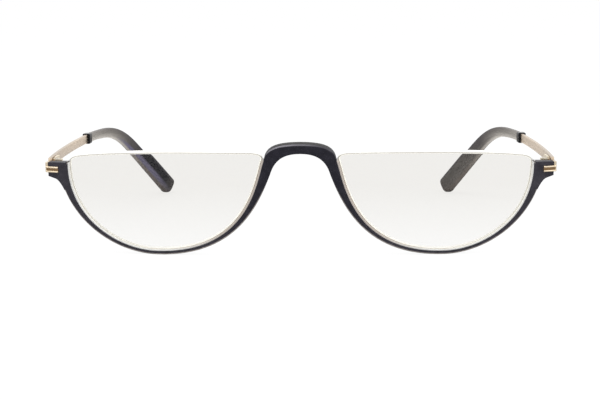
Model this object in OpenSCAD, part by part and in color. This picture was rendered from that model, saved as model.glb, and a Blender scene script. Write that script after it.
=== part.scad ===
// Half-moon reading glasses: a bowed plastic front with two under-rims and a saddle bridge,
// open-topped lenses held by a clear liner and a nylon cord, and two folding temples.
// The front faces -Y, the temples run back along +Y, and the glasses stand on z = 0.

/* [Lens openings] */
// Clear width of one lens opening, from the nose side to the end piece
opening_w = 52.6; // [49:0.1:58]
// Distance between the two lens openings, measured at their tops
lens_spacing = 19.2; // [17:0.1:23]
// Height of a lens above the inside of its rim
lens_h = 27.2; // [25:0.1:30]
// Drop of the rim's outer end below the top of the lens
outer_drop = 3.9; // [3.4:0.1:5]
// Drop of the rim's nose end below the top of the lens
nose_drop = 2; // [1.6:0.1:3]
// Distance from the nose side of an opening to its lowest point
low_point = 29; // [26:0.1:33]

/* [Plastic front] */
// Thickness of the front, from its front face to its back face
front_depth = 3.4; // [2.8:0.1:4]
// Radius that the front is bowed to, seen from above
bow_r = 300; // [220:5:500]
// Lean of the top of the front towards the viewer, in degrees
lean = 8; // [4:0.5:12]
// Width of the rim's front face at its lowest point
rim_low_w = 1; // [0.95:0.05:1.6]
// Width of the rim's front face under the end piece
rim_side_w = 1.9; // [1.6:0.05:2.4]
// Width of the rim's front face beside the nose
rim_nose_w = 2.55; // [2.2:0.05:3]
// Height of the bridge's front face at its middle
bridge_h = 2.6; // [2:0.05:3.2]
// Rise of the bridge's underside above the rims' nose ends
bridge_rise = 2; // [1.4:0.05:3]

/* [End pieces] */
// Length of an end piece beyond the lens opening
lug_l = 5.4; // [4.9:0.1:7]
// Height of an end piece at its outer face
lug_h = 3.9; // [3.6:0.1:4.4]
// Overhang of the small beak at an end piece's inner top corner
beak = 0.3; // [0.1:0.05:0.5]
// Distance from the front face to the flat that the hinge sits on
lug_depth = 4.2; // [3.9:0.1:5.5]

/* [Lenses] */
// Radius of a lens's front surface
lens_front_r = 132; // [120:1:160]
// Radius of a lens's back surface
lens_back_r = 219; // [190:1:400]
// Thickness of a lens at its middle
lens_t = 3.1; // [2.9:0.05:3.6]
// Gap between a lens and its rim, which the liner fills
lens_gap = 0.45; // [0.35:0.05:0.6]
// How far a lens's middle stands in front of the plastic
lens_proud = 0.3; // [0:0.05:0.6]

/* [Liner and cord] */
// Depth of the channel in the rim and of the groove in the lens
groove_d = 0.45; // [0.3:0.05:0.5]
// Width of the liner's tongue, which fills the channel and the groove
tongue_w = 0.6; // [0.5:0.05:0.8]
// Distance of the liner's two edges behind the front's faces
liner_in = 0.3; // [0.2:0.05:0.5]
// Distance from the lens's front surface to the middle of its groove
groove_back = 0.95; // [0.85:0.05:1.1]
// Diameter of the nylon cord along the top of a lens
cord_d = 0.55; // [0.4:0.05:0.6]

/* [Corner trims] */
// Thickness of the gold plate on the side of an end piece
trim_t = 0.7; // [0.5:0.05:0.9]
// Length of the two bars across the front of an end piece
bar_l = 3.6; // [2.8:0.1:4]
// Width of one raised bar
bar_w = 0.5; // [0.4:0.05:0.6]
// Distance between the middles of the two bars
bar_pitch = 1.15; // [1:0.05:1.3]
// Diameter of the rivets that hold the trim and the hinge
rivet_d = 0.8; // [0.6:0.05:0.9]

/* [Hinges] */
// Diameter of the hinge barrel
barrel_d = 2.6; // [2.3:0.05:2.8]
// Height of the whole barrel
barrel_h = 3.8; // [3.6:0.1:4.2]
// Thickness of the hinge leaves
leaf_t = 0.7; // [0.5:0.05:0.9]
// Length of the leaf behind the end piece
front_leaf_l = 4.6; // [4:0.1:5]
// Length of the leaf along the temple
rear_leaf_l = 7; // [5:0.1:9]
// Diameter of the screw's shank
screw_d = 1.1; // [1:0.05:1.2]
// Diameter of the screw's head
head_d = 1.7; // [1.5:0.05:1.8]
// Height of the screw's head
head_h = 0.45; // [0.35:0.05:0.6]
// Gap between two knuckles of the barrel
knuckle_gap = 0.06; // [0.04:0.01:0.1]
// Radial clearance of the screw in its running bore
bore_clear = 0.04; // [0.02:0.01:0.08]
// Sideways lean of both hinge axes, so that the folded temples cross one above the other
axis_lean = 1.8; // [1.6:0.1:2.2]

/* [Temples] */
// Height of the gold temple strip
strip_h = 2.6; // [2.4:0.1:3]
// Thickness of the gold temple strip
strip_t = 0.9; // [0.7:0.05:1.1]
// Height of the strip's middle above the middle of the hinge
strip_rise = 1; // [0.8:0.05:1.2]
// Length of the strip in front of the collar
strip_l = 70; // [64:0.5:76]
// Outward heading of the strip at the hinge, in degrees
strip_out = 2.7; // [0.5:0.1:3.5]
// Inward heading of the strip at the collar, in degrees
strip_in = 2.9; // [2:0.1:5]
// Length of the black collar
collar_l = 4; // [3.5:0.5:7]
// Height of the collar
collar_h = 3.2; // [3.1:0.05:3.6]
// Thickness of the collar
collar_t = 2.3; // [2.2:0.05:2.8]

/* [Temple tips] */
// Height of a tip at the collar
tip_h0 = 2.75; // [2.7:0.05:3.1]
// Thickness of a tip at the collar
tip_t0 = 2.3; // [2:0.05:2.5]
// Height of a tip at its end
tip_h1 = 4.45; // [4:0.05:5]
// Thickness of a tip at its end
tip_t1 = 3.45; // [2.6:0.05:3.8]
// Straight length between the collar and the bend
tip_straight = 15; // [10:0.5:17]
// Length of the bend
bend_l = 23.5; // [18:0.5:28]
// Angle that a tip bends down by, in degrees
bend_down = 38.5; // [36:0.5:44]
// Angle that a tip bends inwards by, in degrees
bend_in = 27; // [20:0.5:32]
// Radius of the tip's end corners
end_round = 0.9; // [0.6:0.05:1.2]
// Diameter of the core wire in a tip
core_d = 1.3; // [1:0.05:1.4]
// Plastic left beyond the end of the core wire
core_end = 10; // [6:0.5:14]

/* [Hidden] */

PLASTIC = [0.17, 0.17, 0.2];
GOLD = [0.84, 0.76, 0.64];
CLEAR = [0.92, 0.93, 0.92, 0.45];
SMOKE = [0.3, 0.29, 0.33];
BLACK = [0.06, 0.06, 0.07];
STEEL = [0.7, 0.68, 0.62];

// Clearance between pieces that are glued, clipped or brazed in place
seat = 0.03;
// Steps along one stretch of a curve
steps = 24;
smooth_fn = 240;

// The front is drawn flat, x across and y up, with y = 0 at the bottom of the rims
nose_x = lens_spacing / 2;
end_x = nose_x + opening_w;
low_x = nose_x + low_point;
low_y = rim_low_w;
rim_outer_h = lens_h - outer_drop;
rim_nose_h = lens_h - nose_drop;
outer_y = low_y + rim_outer_h;
nose_y = low_y + rim_nose_h;
lens_y = low_y + lens_h;
lens_mid_x = nose_x + opening_w / 2;
lens_mid_y = low_y + lens_h / 2;

// One cubic stretch between two points, each with the handle that leaves or reaches it
function cubic(a, ha, hb, b, n = steps) = [
    for (i = [0 : n])
        let (t = i / n, s = 1 - t)
            s * s * s * a + 3 * s * s * t * (a + ha) + 3 * s * t * t * (b + hb) + t * t * t * b
];
function drop_first(list) = [for (i = [1 : len(list) - 1]) list[i]];
function unit(v) = v / norm(v);

// Inside edge of a rim, from its outer end round the bottom to its nose end
outer_sweep = cubic(
    [end_x, outer_y], [0.4, -0.645 * rim_outer_h],
    [0.46 * (end_x - low_x), 0], [low_x, low_y]
);
nose_sweep = cubic(
    [low_x, low_y], [-0.89 * low_point, 0],
    [0.06 * low_point, -0.165 * rim_nose_h], [nose_x, nose_y]
);
rim_in = concat(outer_sweep, drop_first(nose_sweep));

// Direction at a point of an open curve, and the curve moved sideways by a distance there
function heading(c, i) = unit(c[min(i + 1, len(c) - 1)] - c[max(i - 1, 0)]);
function away(c, i) = let (d = heading(c, i)) [-d.y, d.x];
function moved(c, by) = [for (i = [0 : len(c) - 1]) c[i] - by * away(c, i)];

// Width of the rim's face, which grows with height on both sides
side_ref = rim_outer_h * 0.66;
nose_ref = rim_nose_h * 0.86;
function grow(h) = 0.45 * h + 0.55 * h * h;
function rim_w(p) = let (h = p.y - low_y)
    p.x > low_x
        ? rim_low_w + (rim_side_w - rim_low_w) * grow(h / side_ref)
        : rim_low_w + (rim_nose_w - rim_low_w) * grow(h / nose_ref);
rim_out = [for (i = [0 : len(rim_in) - 1]) rim_in[i] + rim_w(rim_in[i]) * away(rim_in, i)];
side_part = [for (p = rim_out) if (p.x > low_x && p.y < low_y + side_ref) p];
nose_part = [for (p = rim_out) if (p.x <= low_x && p.y < low_y + nose_ref) p];

// Outline of the end piece
lug_x = end_x + lug_l;
lug_top = outer_y;
lug_low = lug_top - lug_h;
beak_y = outer_y + 0.8;
// Where the beak's outer flank meets the flat top
flank = [end_x + 0.25, lug_top + 0.15];
side_start = side_part[0];
lug_fillet = cubic([lug_x - 1.9, lug_low - 0.5], [-1.2, -0.3], [0.45, 1.1], side_start, 8);
lug_edge = concat(
    [[end_x - beak, beak_y], flank, [lug_x - 0.3, lug_top], [lug_x, lug_top - 0.3], [lug_x, lug_low + 0.1]],
    lug_fillet
);

// Outline of the half bridge
under_y = nose_y + bridge_rise;
over_y = under_y + bridge_h;
saddle_start = nose_part[len(nose_part) - 1];
saddle = cubic(saddle_start, [-1.2, 4], [4.2, 0], [0, under_y], 16);
bridge_top = cubic([0, over_y], [7.5, 0], [-0.4, 2.8], [nose_x, nose_y], 18);

front_half = concat(
    lug_edge, drop_first(side_part), nose_part, drop_first(saddle), bridge_top,
    [for (i = [len(rim_in) - 2 : -1 : 0]) rim_in[i]]
);

// Outline of a lens: the rim's inside edge less the gap, closed by the open top
lens_low = moved(rim_in, lens_gap);
lens_outer = lens_low[0];
lens_nose = lens_low[len(lens_low) - 1];
nose_corner = [nose_x + 4, lens_y - 0.05];
outer_corner = [end_x - 5.7, lens_y - 1.55];
top_edge = concat(
    cubic(lens_nose, [-0.25, 1.3], [-2.1, -0.1], nose_corner, 8),
    drop_first(cubic(nose_corner, [12, 0.3], [-12.8, 1.75], outer_corner, 16)),
    drop_first(cubic(outer_corner, [3.4, -0.47], [0, 1.6], lens_outer, 10))
);
lens_edge = concat(lens_low, drop_first([for (i = [0 : len(top_edge) - 2]) top_edge[i]]));

// A lens's own axis stands square to the bowed front at the middle of the lens
turn = asin(lens_mid_x / bow_r);
// Where the front surface of the lens, moved back by a distance, lies under a point
function lens_depth(p, back = 0) =
    let (
        r = lens_front_r - back,
        cx = bow_r * sin(turn) - (lens_front_r - lens_proud) * sin(turn),
        cy = bow_r - bow_r * cos(turn) + (lens_front_r - lens_proud) * cos(turn)
    )
    cy - sqrt(r * r - pow(p.x - cx, 2) - pow(p.y - lens_mid_y, 2));

// The flat front, tilted and set on the table
function bow_depth(x) = bow_r - sqrt(bow_r * bow_r - x * x);
lift = -bow_depth(low_x) * sin(lean);
function placed(p, depth) = [
    p.x,
    depth * cos(lean) - p.y * sin(lean),
    depth * sin(lean) + p.y * cos(lean) + lift
];

// Temple path: heading and fall along its length, then the points it passes
tip_start = strip_l + collar_l;
bend_start = tip_start + tip_straight;
bend_end = bend_start + bend_l;
lug_mid_depth = bow_depth(lug_x);
lug_mid = placed([lug_x, (lug_top + lug_low) / 2], lug_mid_depth);
hinge_face_y = lug_mid.y + lug_depth;
strip_outer_x = lug_x + trim_t;
strip_inner_x = strip_outer_x - strip_t;
hinge_z = placed([lug_x, (lug_top + lug_low) / 2], lug_mid_depth + lug_depth / 2).z;
strip_top = hinge_z + strip_rise + strip_h / 2;
// Clearance between the barrel and what turns or stands beside it
barrel_side = 0.15;
axis_x = strip_inner_x - barrel_side - barrel_d / 2;
axis_y = hinge_face_y + seat + leaf_t + barrel_side + barrel_d / 2;
stop_gap = 0.1;
trim_back_y = hinge_face_y + 0.5;
strip_start = [strip_outer_x - strip_t / 2, trim_back_y + stop_gap, strip_top - strip_h / 2];

function ease(t) = let (u = min(max(t, 0), 1)) u * u * (3 - 2 * u);
function yaw(s) = strip_out - (strip_out + strip_in) * min(s / strip_l, 1)
    - bend_in * ease((s - strip_l) / (bend_end - strip_l));
function fall(s) = bend_down * ease((s - bend_start) / bend_l);
function along(s) = [sin(yaw(s)) * cos(fall(s)), cos(yaw(s)) * cos(fall(s)), -sin(fall(s))];
function across(s) = [cos(yaw(s)), -sin(yaw(s)), 0];
function upward(s) = [sin(yaw(s)) * sin(fall(s)), cos(yaw(s)) * sin(fall(s)), cos(fall(s))];
path_steps = 112;
path_step = bend_end / path_steps;
path = [
    for (i = 0, p = strip_start; i <= path_steps; p = p + path_step * along((i + 0.5) * path_step), i = i + 1) p
];
function point(s) =
    let (i = min(floor(s / path_step), path_steps - 1), q = min(s, bend_end) / path_step - i)
    path[i] + q * (path[i + 1] - path[i]) + max(s - bend_end, 0) * along(s);
// The straight end runs on until the tip's lower corner stands on the table
tip_end = bend_end + (path[path_steps].z - tip_h1 / 2 * cos(bend_down) + 0.15 * end_round) / sin(bend_down);

// The glasses are centred front to back between the bridge and the ends of the tips
bridge_front_y = placed([0, over_y], 0).y;
tip_back_y = point(tip_end).y + tip_h1 / 2 * sin(bend_down) * cos(yaw(tip_end));
centre_y = (bridge_front_y + tip_back_y) / 2;

module set_down() {
    translate([0, -centre_y, 0]) children();
}
module on_side(side) {
    mirror([side < 0 ? 1 : 0, 0, 0]) children();
}
// Brings what is drawn flat, and as deep as its distance from the drawing, to its place
module upright() {
    translate([0, 0, lift]) rotate([lean, 0, 0]) children();
}
// A prism of a flat outline, from one depth to another
module prism(outline, from, to) {
    translate([0, to, 0]) rotate([90, 0, 0]) linear_extrude(to - from) polygon(outline);
}

module bowed_slab(from, to) {
    translate([0, bow_r, -10]) difference() {
        cylinder(r = bow_r - from, h = 60, $fn = 480);
        translate([0, 0, -1]) cylinder(r = bow_r - to, h = 62, $fn = 480);
    }
}
module lens_ball(r, middle_back) {
    translate([0, bow_r, 0]) rotate([0, 0, turn])
        translate([0, middle_back - lens_proud + r - bow_r, lens_mid_y])
            sphere(r = r, $fn = smooth_fn);
}
// A shell that follows the front surface of a lens at a distance behind it
module lens_shell(from, to) {
    difference() {
        lens_ball(lens_front_r - from, from);
        lens_ball(lens_front_r - to, to);
    }
}

// Outline that runs beside a curve, from one offset to another, positive towards the lens
function beside(from, to, c = rim_in) = let (a = moved(c, from), b = moved(c, to))
    concat(a, [for (i = [len(b) - 1 : -1 : 0]) b[i]]);
// The liner's tongue stops a little short of both ends of the rim
last_in = len(rim_in) - 1;
tongue_line = concat(
    [(rim_in[0] + rim_in[1]) / 2],
    [for (i = [1 : last_in - 1]) rim_in[i]],
    [(rim_in[last_in - 1] + rim_in[last_in]) / 2]
);

// The end piece's top is level, at the height of its front edge
level_z = placed([lug_x, lug_top], lug_mid_depth).z;
// Side view of the end piece behind the front, closed by the upright hinge face
block_low = [for (back = [1, 3]) placed([lug_x, lug_low + 0.7], lug_mid_depth + back)];
module lug_block() {
    translate([lug_x, 0, 0]) rotate([0, -90, 0]) linear_extrude(lug_l - 0.4) polygon([
        [level_z + 1, block_low[0].y],
        [level_z + 1, hinge_face_y],
        [block_low[1].z, hinge_face_y],
        [block_low[0].z, block_low[0].y]
    ]);
}
// What lies above the level top, with a slope down behind the beak's front edge
beak_slope = 1;
beak_top = placed([end_x - beak, beak_y], bow_depth(end_x - beak));
module above_lug() {
    translate([flank.x, -20, level_z]) cube([lug_l + 1, 60, 10]);
    translate([flank.x, 0, 0]) rotate([0, -90, 0]) linear_extrude(2) polygon([
        [beak_top.z, beak_top.y - 1],
        [beak_top.z, beak_top.y + seat],
        [level_z, beak_top.y + beak_slope],
        [level_z, beak_top.y + 20],
        [level_z + 10, beak_top.y + 20],
        [level_z + 10, beak_top.y - 1]
    ]);
}

// Two rivets side by side run from the bars' plate through the end piece to the hinge leaf
rivet_x = lug_x - 1.25;
rivet_apart = 0.65;
module rivets(extra, from, to) {
    for (k = [-1, 1])
        translate([rivet_x + k * rivet_apart, to, bar_mid.z]) rotate([90, 0, 0])
            cylinder(d = rivet_d + 2 * extra, h = to - from, $fn = 32);
}

// The two bars cross the end piece's front, a little below its middle
bar_y = lug_low + 2;
bar_mid = placed([lug_x, bar_y], lug_mid_depth);
bar_turn = asin((lug_x - bar_l / 2) / bow_r);
plate_t = 0.4;
pocket_d = 0.2;
// The trim's own frame: its corner at the end piece's outer front edge, x running inwards
module at_corner() {
    translate([lug_x, lug_mid_depth, bar_y]) rotate([0, 0, bar_turn]) children();
}
module bar_plate(extra) {
    at_corner() translate([trim_t - bar_l - extra, pocket_d - plate_t, -(bar_pitch + bar_w) / 2 - extra])
        cube([bar_l + extra, plate_t, bar_pitch + bar_w + 2 * extra]);
}

cord_anchor_nose = [nose_x - 0.75, nose_y - 1.5];
cord_anchor_end = [end_x + 0.95, outer_y - 0.9];
cord_in = cord_d / 2 - 0.05;
// The cord lies in the groove of the lens's top edge, and both its ends run into the plastic
cord_top = [for (i = [0 : len(top_edge) - 1]) top_edge[i] - cord_in * away(top_edge, i)];
cord_last = len(cord_top) - 1;
cord_flat = concat([cord_anchor_nose], [for (i = [3 : cord_last - 4]) cord_top[i]], [cord_anchor_end]);
cord_path = [for (p = cord_flat) [p.x, lens_depth(p, groove_back), p.y]];

// Rings of a tube about a path, and the solid that they close
function tube_ring(path, i, r, sides) =
    let (
        d = unit(path[min(i + 1, len(path) - 1)] - path[max(i - 1, 0)]),
        a = unit(cross(d, [0, 1, 0])),
        b = cross(d, a)
    )
    [for (k = [0 : sides - 1]) path[i] + r * (cos(360 * k / sides) * a + sin(360 * k / sides) * b)];
module skin(rings) {
    n = len(rings[0]);
    m = len(rings);
    polyhedron(
        points = [for (ring = rings) for (p = ring) p],
        faces = concat(
            [[for (k = [0 : n - 1]) k]],
            [
                for (j = [0 : m - 2]) for (k = [0 : n - 1]) for (half = [0, 1])
                    let (a = j * n + k, b = j * n + (k + 1) % n)
                        half == 0 ? [a, a + n, b + n] : [a, b + n, b]
            ],
            [[for (k = [n - 1 : -1 : 0]) (m - 1) * n + k]]
        ),
        convexity = 6
    );
}
module cord_tube(r, from, to) {
    skin([for (i = [from : to]) tube_ring(cord_path, i, r, 8)]);
}
// A round hole along the cord's straight end, from its anchor to where it leaves the plastic
module cord_hole(a, b) {
    d = b - a;
    translate(a) rotate([0, 0, atan2(d.y, d.x)]) rotate([0, acos(d.z / norm(d)), 0])
        translate([0, 0, -0.2]) cylinder(d = cord_d + 0.1, h = norm(d) + 0.2, $fn = 24);
}

module half_front() {
    difference() {
        union() {
            upright() intersection() {
                prism(front_half, -2, 20);
                bowed_slab(0, front_depth);
            }
            lug_block();
        }
        above_lug();
        upright() intersection() {
            prism(beside(1, -groove_d - seat), -2, 20);
            lens_shell(groove_back - tongue_w / 2 - seat, groove_back + tongue_w / 2 + seat);
        }
        upright() bar_plate(seat);
        rivets(seat, bar_mid.y - 1, hinge_face_y + 1);
        upright() cord_hole(cord_path[0], cord_path[1]);
        upright() cord_hole(cord_path[len(cord_path) - 1], cord_path[len(cord_path) - 2]);
    }
}
module front_frame() {
    color(PLASTIC) set_down() {
        half_front();
        mirror([1, 0, 0]) half_front();
    }
}

module lens(side) {
    color(CLEAR) set_down() on_side(side) upright() difference() {
        intersection() {
            prism(lens_edge, -4, 20);
            lens_ball(lens_front_r, 0);
        }
        lens_ball(lens_back_r, lens_t);
        intersection() {
            lens_groove();
            lens_shell(groove_back - tongue_w / 2 - seat, groove_back + tongue_w / 2 + seat);
        }
    }
}
// Everything outside the bottom of the groove that runs round the lens's edge
groove_floor = concat(
    moved(lens_low, groove_d + seat),
    drop_first([for (i = [0 : len(top_edge) - 2]) top_edge[i] - (groove_d + seat) * away(top_edge, i)])
);
module lens_groove() {
    difference() {
        prism(concat(moved(rim_in, -2), [[end_x, lens_y + 3], [nose_x, lens_y + 3]]), -4, 20);
        prism(groove_floor, -5, 21);
    }
}

module rim_liner(side) {
    color(CLEAR) set_down() on_side(side) upright() {
        intersection() {
            prism(beside(-groove_d, lens_gap + groove_d, tongue_line), -2, 20);
            lens_shell(groove_back - tongue_w / 2, groove_back + tongue_w / 2);
        }
        intersection() {
            prism(beside(seat, lens_gap - seat), -2, 20);
            bowed_slab(liner_in, front_depth - liner_in);
        }
    }
}

module lens_cord(side) {
    color(CLEAR) set_down() on_side(side) upright()
        cord_tube(cord_d / 2, 0, len(cord_path) - 1);
}

// Side view of the trim's plate: its front edge leans with the front, its back edge is upright
side_low = placed([lug_x, bar_y - (bar_pitch + bar_w) / 2], lug_mid_depth - 0.1);
side_top = placed([lug_x, lug_top], lug_mid_depth - 0.1);
module corner_trim(side) {
    color(GOLD) set_down() on_side(side) {
        translate([lug_x + trim_t, 0, 0]) rotate([0, -90, 0]) linear_extrude(trim_t - seat) polygon([
            [side_low.z, side_low.y],
            [level_z, side_top.y],
            [level_z, trim_back_y],
            [side_low.z + 0.25, trim_back_y]
        ]);
        upright() bar_plate(0);
        upright() at_corner() for (k = [-1, 1])
            translate([trim_t - bar_w / 2, pocket_d - plate_t, k * bar_pitch / 2]) {
                rotate([0, -90, 0]) cylinder(d = bar_w, h = bar_l - bar_w, $fn = 24);
                sphere(d = bar_w, $fn = 24);
                translate([bar_w - bar_l, 0, 0]) sphere(d = bar_w, $fn = 24);
            }
        rivets(0, bar_mid.y - 0.3, hinge_face_y + leaf_t);
    }
}

module at_hinge(side) {
    translate([axis_x, axis_y, hinge_z]) rotate([0, side * axis_lean, 0]) children();
}
knuckle_r = barrel_d / 2;
mid_h = barrel_h * 0.34;
module knuckle(from, to) {
    translate([0, 0, from]) cylinder(r = knuckle_r, h = to - from, $fn = 64);
}
// The screw's bore through the barrel, wider in the knuckles that turn or hold the head
module screw_bore() {
    cylinder(d = screw_d + 2 * bore_clear, h = barrel_h + 2, center = true, $fn = 64);
    translate([0, 0, barrel_h / 2 - head_h - bore_clear])
        cylinder(d = head_d + 2 * bore_clear, h = barrel_h, $fn = 64);
}
leaf_low = hinge_z - barrel_h / 2 + 0.15;
module front_hinge_leaf(side) {
    color(GOLD) set_down() on_side(side) difference() {
        union() {
            translate([lug_x - front_leaf_l, hinge_face_y + seat, leaf_low])
                cube([strip_inner_x - barrel_side - lug_x + front_leaf_l, leaf_t, level_z - 0.5 - leaf_low]);
            at_hinge(side) for (up = [0, 1]) mirror([0, 0, up]) {
                knuckle(mid_h / 2 + knuckle_gap, barrel_h / 2);
                translate([-knuckle_r, -knuckle_r - 0.3, mid_h / 2 + knuckle_gap])
                    cube([knuckle_r * 1.5, knuckle_r + 0.3, (barrel_h - mid_h) / 2 - knuckle_gap]);
            }
        }
        at_hinge(side) screw_bore();
        rivets(seat, hinge_face_y - 1, hinge_face_y + leaf_t + seat);
    }
}
module hinge_screw(side) {
    color(STEEL) set_down() on_side(side) at_hinge(side) difference() {
        union() {
            translate([0, 0, -barrel_h / 2]) cylinder(d = screw_d, h = barrel_h - head_h, $fn = 64);
            translate([0, 0, barrel_h / 2 - head_h]) cylinder(d = head_d, h = head_h, $fn = 64);
        }
        translate([-head_d, -0.12, barrel_h / 2 - 0.2]) cube([2 * head_d, 0.24, 1]);
    }
}
leaf_inner_x = strip_inner_x - seat - leaf_t * 0.8;
module rear_hinge_leaf(side) {
    color(GOLD) set_down() on_side(side) difference() {
        union() {
            at_hinge(side) knuckle(-mid_h / 2, mid_h / 2);
            translate([leaf_inner_x, axis_y, hinge_z - mid_h / 2 + 0.03])
                cube([leaf_t * 0.8, knuckle_r + 0.6, mid_h - 0.06]);
            translate([leaf_inner_x, axis_y + knuckle_r + 0.3, hinge_z - mid_h / 2 + 0.03])
                cube([leaf_t * 0.8, rear_leaf_l, strip_top - 0.25 - (hinge_z - mid_h / 2 + 0.03)]);
        }
        at_hinge(side) screw_bore();
    }
}

// Plan outline of a band along the temple path, with the side faces at two offsets
function band(from, to, a, b, n = 26) = concat(
    [for (i = [0 : n]) let (s = from + (to - from) * i / n, p = point(s) + a * across(s)) [p.x, p.y]],
    [for (i = [n : -1 : 0]) let (s = from + (to - from) * i / n, p = point(s) + b * across(s)) [p.x, p.y]]
);
module upright_band(from, to, t, h, n) {
    translate([0, 0, strip_top - strip_h / 2 - h / 2]) linear_extrude(h)
        polygon(band(from, to, -t / 2, t / 2, n));
}
module temple_strip(side) {
    color(GOLD) set_down() on_side(side) upright_band(0, tip_start - seat, strip_t, strip_h, 26);
}
module collar(side) {
    color(BLACK) set_down() on_side(side) difference() {
        upright_band(strip_l, tip_start, collar_t, collar_h, 3);
        upright_band(strip_l - 1, tip_start + 1, strip_t + 2 * seat, strip_h + 2 * seat, 8);
    }
}

// One ring of a tip: a rounded oblong square to the path, drawn in near the tip's end
ring_sides = 16;
squareness = 0.62;
function signed_pow(v, e) = sign(v) * pow(abs(v), e);
function tip_size(s) = let (t = (s - tip_start) / (tip_end - tip_start))
    [tip_t0 + (tip_t1 - tip_t0) * t, tip_h0 + (tip_h1 - tip_h0) * ease((t - 0.1) / 0.65)];
function tip_ring(s, drawn_in) =
    let (size = tip_size(s) / 2 - [drawn_in, drawn_in], c = point(s))
    [
        for (k = [0 : ring_sides - 1])
            let (a = 360 * (k + 0.5) / ring_sides)
                c + across(s) * size.x * signed_pow(cos(a), squareness)
                    - upward(s) * size.y * signed_pow(sin(a), squareness)
    ];
tip_rings = 26;
tip_body_end = tip_end - end_round;
function tip_stops() = concat(
    [for (i = [0 : tip_rings]) [tip_start + (tip_body_end - tip_start) * i / tip_rings, 0]],
    [for (a = [30, 60, 90]) [tip_body_end + end_round * sin(a), end_round * (1 - cos(a)) * 0.8]]
);
core_stop = tip_end - core_end;
function core_rings(from, to, r, n) = [
    for (i = [0 : n])
        let (s = from + (to - from) * i / n, c = point(s))
            [for (k = [0 : 9]) c + r * (cos(36 * k) * across(s) - sin(36 * k) * upward(s))]
];
module temple_tip(side) {
    color(SMOKE) set_down() on_side(side) difference() {
        skin([for (stop = tip_stops()) tip_ring(stop[0], stop[1])]);
        skin(core_rings(tip_start - 1, core_stop + 0.2, core_d / 2 + 0.06, 20));
    }
}
module core_wire(side) {
    color(STEEL) set_down() on_side(side)
        skin(core_rings(tip_start, core_stop, core_d / 2, 20));
}

front_frame();
lens(-1);  // left_lens
lens(1);  // right_lens
rim_liner(-1);  // left_rim_liner
rim_liner(1);  // right_rim_liner
lens_cord(-1);  // left_lens_cord
lens_cord(1);  // right_lens_cord
corner_trim(-1);  // left_corner_trim
corner_trim(1);  // right_corner_trim
front_hinge_leaf(-1);  // left_front_hinge_leaf
front_hinge_leaf(1);  // right_front_hinge_leaf
hinge_screw(-1);  // left_hinge_screw
hinge_screw(1);  // right_hinge_screw
rear_hinge_leaf(-1);  // left_rear_hinge_leaf
rear_hinge_leaf(1);  // right_rear_hinge_leaf
temple_strip(-1);  // left_temple_strip
temple_strip(1);  // right_temple_strip
collar(-1);  // left_collar
collar(1);  // right_collar
core_wire(-1);  // left_core_wire
core_wire(1);  // right_core_wire
temple_tip(-1);  // left_temple_tip
temple_tip(1);  // right_temple_tip
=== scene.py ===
import math

import bmesh
import bpy
from bpy.props import FloatProperty, FloatVectorProperty, PointerProperty
from mathutils import Matrix, Vector


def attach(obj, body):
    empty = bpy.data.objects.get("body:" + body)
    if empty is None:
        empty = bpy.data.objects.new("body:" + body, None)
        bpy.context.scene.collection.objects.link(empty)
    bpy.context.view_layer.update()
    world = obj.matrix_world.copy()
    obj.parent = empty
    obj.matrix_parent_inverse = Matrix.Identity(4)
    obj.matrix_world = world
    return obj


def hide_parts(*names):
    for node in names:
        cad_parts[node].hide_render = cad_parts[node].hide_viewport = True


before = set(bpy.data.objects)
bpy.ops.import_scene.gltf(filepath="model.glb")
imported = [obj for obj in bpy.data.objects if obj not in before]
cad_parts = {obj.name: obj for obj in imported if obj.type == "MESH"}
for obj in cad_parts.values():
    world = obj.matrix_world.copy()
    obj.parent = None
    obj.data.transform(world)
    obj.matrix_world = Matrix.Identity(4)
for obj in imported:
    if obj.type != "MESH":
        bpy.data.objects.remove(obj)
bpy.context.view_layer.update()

bl_info = {
    "name": "Half-moon reading glasses",
    "version": (1, 0, 0),
    "blender": (4, 5, 0),
    "location": "View3D > Sidebar > Glasses",
    "description": "Dresses the CAD frame of a pair of half-moon reading glasses",
    "category": "Object",
}

MM = 0.001
SIDES = ("left", "right")

# Sizes of the frame as in the CAD source: lengths in mm, and the temple's angles in degrees.
# The front is drawn flat, x across and y up, and then leaned and bowed.
OPENING_W = 52.6
LENS_SPACING = 19.2
LENS_H = 27.2
RIM_OUTER_H = 23.3
RIM_NOSE_H = 25.2
LOW_POINT = 29.0
FRONT_DEPTH = 3.4
BOW_R = 300.0
LEAN = math.radians(8)
RIM_LOW_W = 1.0
RIM_SIDE_W = 1.9
RIM_NOSE_W = 2.55
BRIDGE_H = 2.6
BRIDGE_RISE = 2.0
LUG_L = 5.4
LUG_H = 3.9
BEAK = 0.3
LUG_DEPTH = 4.2
LENS_FRONT_R = 132.0
LENS_BACK_R = 219.0
LENS_T = 3.1
LENS_GAP = 0.45
LENS_PROUD = 0.3
GROOVE_D = 0.45
TONGUE_W = 0.6
LINER_IN = 0.3
GROOVE_BACK = 0.95
CORD_D = 0.55
TRIM_T = 0.7
BAR_L = 3.6
BAR_W = 0.5
BAR_PITCH = 1.15
PLATE_T = 0.4
POCKET_D = 0.2
TRIM_OVER = 0.1
TRIM_NARROWS = 0.25
STRIP_H = 2.6
STRIP_T = 0.9
STRIP_RISE = 1.0
STRIP_L = 70.0
STRIP_OUT = 2.7
STRIP_IN = 2.9
COLLAR_L = 4.0
COLLAR_H = 3.2
COLLAR_T = 2.3
TIP_H0 = 2.75
TIP_T0 = 2.3
TIP_H1 = 4.45
TIP_T1 = 3.45
TIP_STRAIGHT = 15.0
BEND_L = 23.5
BEND_DOWN = 38.5
BEND_IN = 27.0
END_ROUND = 0.9
SEAT = 0.03

# Roundings that no setting changes, in mm
COLLAR_ROUND = 0.35
TRIM_ROUND = 0.08

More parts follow.
